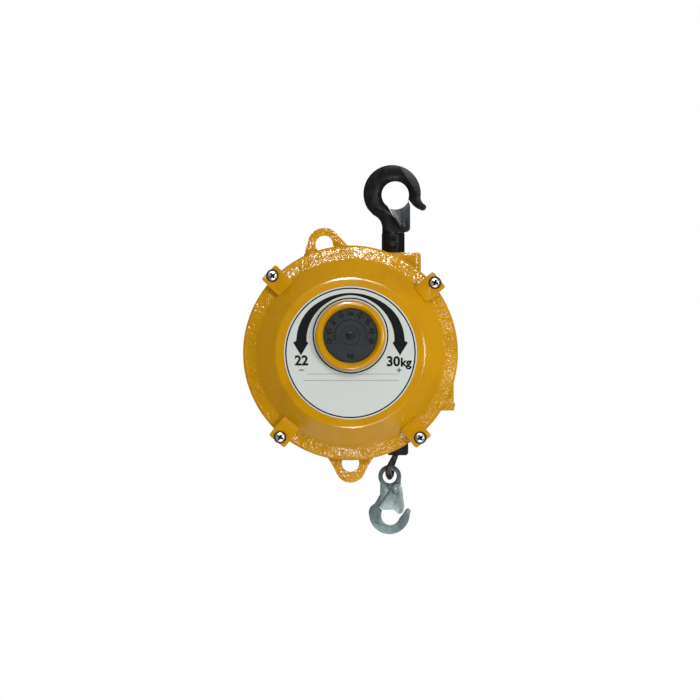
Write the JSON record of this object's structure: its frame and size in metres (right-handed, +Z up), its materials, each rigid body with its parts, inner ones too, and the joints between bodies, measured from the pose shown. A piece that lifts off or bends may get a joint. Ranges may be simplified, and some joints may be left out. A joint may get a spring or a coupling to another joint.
{
  "type": "tool balancer",
  "caption": "Round spring balancer with a top hook, a load dial in its domed cover and a wire rope ending in a latched load hook.",
  "frame": {"origin": "centre of the top hook's throat, where the balancer hangs", "axes": "+Z up against the pull of the load, the drum axis along Y with the dial facing -Y, +X towards the worm housing"},
  "size_m": [0.224, 0.139, 0.3857],
  "materials": {
    "paint": "gloss yellow enamel over cast aluminium",
    "black_iron": "black oxide over forged steel",
    "zinc": "zinc plated steel",
    "steel": "turned and ground",
    "bright": "polished",
    "label": "printed sheet",
    "dial_print": "printed disc",
    "polymer": "moulded acetal",
    "rubber": "moulded",
    "bronze": "sintered bronze",
    "rope": "stranded galvanised wire",
    "cast": "die cast"
  },
  "bodies": {
    "hanger": {"upper_hook": "black_iron", "hanger": "black_iron", "cross_pin": "black_iron", "thrust_washer": "steel", "hanger_nut": "steel", "upper_rivet": "zinc", "upper_latch_spring": "steel"},
    "upper_latch": {"upper_latch": "zinc"},
    "case": {"main_case": "paint", "front_cover": "paint", "cover_screws": "steel", "label_plate": "label", "dial_screw": "steel", "front_bearing": "bright", "rear_bearing": "bright", "bearing_cap": "paint", "cap_screws": "steel", "worm_bush": "bronze", "worm_cap": "paint", "worm_cap_screws": "steel", "pawl_pin": "steel", "box_pin": "steel", "rope_guide": "bronze", "rope_run": "rope"},
    "dial": {"dial_face": "dial_print", "dial_gear": "polymer"},
    "spring_case": {"spring_case": "cast", "spring_lid": "cast", "lid_screws": "steel", "main_spring": "steel", "hub_bush": "bronze"},
    "worm": {"worm": "steel"},
    "drum": {"main_shaft": "steel", "shaft_key": "steel", "rope_drum": "cast", "wound_rope": "rope", "shaft_circlip": "steel"},
    "pawl": {"lock_pawl": "steel"},
    "rope_end": {"ferrule": "cast", "bumper": "rubber", "rope_loop": "rope", "rope_thimble": "zinc"},
    "load_hook": {"load_hook": "zinc", "load_rivet": "zinc", "load_latch_spring": "steel"},
    "load_latch": {"load_latch": "zinc"}
  },
  "joints": [
    {"name": "case_swivel", "type": "hinge", "parent": "hanger", "child": "case", "pos_m": [-0.0022, 0, -0.0602], "axis": [0, 0, 1], "continuous": true},
    {"name": "upper_latch_swing", "type": "hinge", "parent": "hanger", "child": "upper_latch", "pos_m": [0.0096, 0, -0.0325], "axis": [0, 1, 0], "range_deg": [-36, 0], "stiffness_Nm_per_rad": 0.03, "springref_deg": 40.11},
    {"name": "dial_turn", "type": "hinge", "parent": "case", "child": "dial", "pos_m": [-0.0468, -0.082, -0.147], "axis": [0, 1, 0], "range_deg": [-105, 105]},
    {"name": "spring_case_turn", "type": "hinge", "parent": "case", "child": "spring_case", "pos_m": [-0.0468, -0.042, -0.165], "axis": [0, 1, 0], "range_deg": [-420, 420]},
    {"name": "worm_turn", "type": "hinge", "parent": "case", "child": "worm", "pos_m": [0.0462, -0.0254, -0.165], "axis": [0, 0, 1], "range_deg": [-28560, 28560]},
    {"name": "drum_turn", "type": "hinge", "parent": "case", "child": "drum", "pos_m": [-0.0468, 0.008, -0.165], "axis": [0, 1, 0], "range_deg": [0, 1710], "stiffness_Nm_per_rad": 0.17, "springref_deg": -3724.23},
    {"name": "rope_travel", "type": "slide", "parent": "case", "child": "rope_end", "axis": [0, 0, -1], "range_m": [0, 1.5], "deforming": ["rope_run"]},
    {"name": "load_hook_swing", "type": "hinge", "parent": "rope_end", "child": "load_hook", "pos_m": [-0.0058, 0, -0.294], "axis": [0, 1, 0], "range_deg": [-30, 30]},
    {"name": "load_latch_swing", "type": "hinge", "parent": "load_hook", "child": "load_latch", "pos_m": [0.0005, 0, -0.309], "axis": [0, 1, 0], "range_deg": [0, 33], "stiffness_Nm_per_rad": 0.03, "springref_deg": -40.11},
    {"name": "pawl_swing", "type": "hinge", "parent": "case", "child": "pawl", "pos_m": [-0.06712, -0.0125, -0.08349], "axis": [0, 1, 0], "range_deg": [-9, 0], "stiffness_Nm_per_rad": 0.05, "springref_deg": 22.92}
  ],
  "couplings": [
    {"joint": "dial_turn", "follows": "spring_case_turn", "ratio": 0.25},
    {"joint": "worm_turn", "follows": "spring_case_turn", "ratio": 68},
    {"joint": "rope_travel", "follows": "drum_turn", "m_per_rad": 0.050259}
  ]
}
